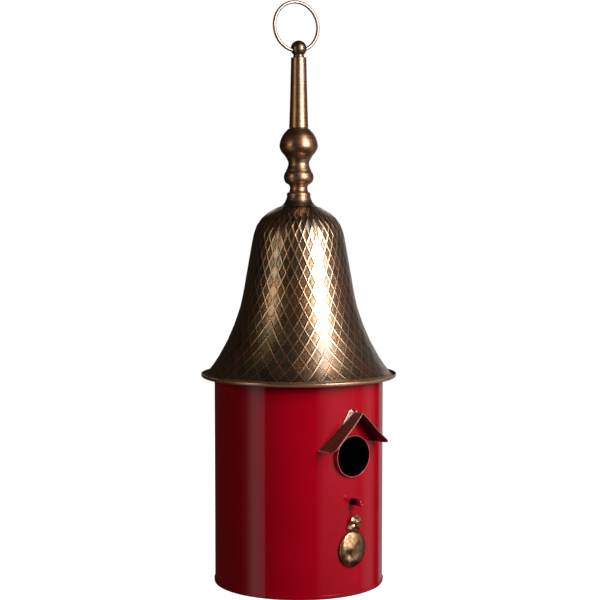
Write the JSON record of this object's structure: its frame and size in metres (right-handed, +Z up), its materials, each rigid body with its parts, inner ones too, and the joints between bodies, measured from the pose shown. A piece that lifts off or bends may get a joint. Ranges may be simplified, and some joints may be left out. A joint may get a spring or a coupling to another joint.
{
  "type": "birdhouse",
  "caption": "Cylindrical enamelled metal birdhouse with a bell-shaped copper roof, turned finial, hanging ring, round entrance under a gabled canopy, perch and swinging clean-out cover.",
  "frame": {"origin": "centre of the base, on the plane that the birdhouse stands on", "axes": "+Z up along the tie rod, -Y out of the entrance hole, +X to the right when the entrance is seen from the front"},
  "size_m": [0.1876, 0.19, 0.5569],
  "materials": {
    "red_enamel": "glossy crimson enamel",
    "antique_copper": "antique copper, darkened cells between lighter diagonal ridges, lacquered",
    "turned_copper": "browned turned copper with fine lathe lines",
    "dark_bronze": "dark polished bronze",
    "polished_copper": "polished pale copper wire",
    "canopy_copper": "browned copper sheet with a bright cut edge",
    "hammered_bronze": "hand-hammered golden bronze",
    "zinc_steel": "zinc-plated steel"
  },
  "bodies": {
    "house": {"body_tube": "red_enamel", "base_pan": "red_enamel", "entrance_collar": "red_enamel", "entrance_canopy": "canopy_copper", "canopy_rivet_left": "canopy_copper", "canopy_rivet_right": "canopy_copper", "perch_peg": "red_enamel", "perch_nut": "zinc_steel", "cover_rivet": "hammered_bronze", "cross_strap": "zinc_steel", "strap_rivet_left": "zinc_steel", "strap_rivet_right": "zinc_steel", "tie_rod": "zinc_steel", "tie_rod_nut_lower": "zinc_steel", "tie_rod_nut_upper": "zinc_steel"},
    "cover": {"clean_out_cover": "hammered_bronze", "cover_leaf": "hammered_bronze"},
    "roof": {"bell_roof": "antique_copper"},
    "finial": {"finial_base": "turned_copper", "finial_spindle": "turned_copper", "finial_stem": "turned_copper", "finial_stud": "zinc_steel", "top_ball": "dark_bronze"},
    "ring": {"hanging_ring": "polished_copper"}
  },
  "joints": [
    {"name": "cover_swing", "type": "hinge", "parent": "house", "child": "cover", "pos_m": [0.002, -0.0818, 0.0698], "axis": [0, -1, 0], "range_deg": [-110, 110]},
    {"name": "roof_lift", "type": "slide", "parent": "house", "child": "roof", "axis": [0, 0, 1], "range_m": [0, 0.22]},
    {"name": "finial_turn", "type": "hinge", "parent": "roof", "child": "finial", "pos_m": [0, 0, 0.37], "axis": [0, 0, 1], "continuous": true},
    {"name": "ring_swing", "type": "hinge", "parent": "finial", "child": "ring", "pos_m": [0, 0, 0.5098], "axis": [0.9836, -0.1805, 0], "range_deg": [-158, 162]}
  ]
}
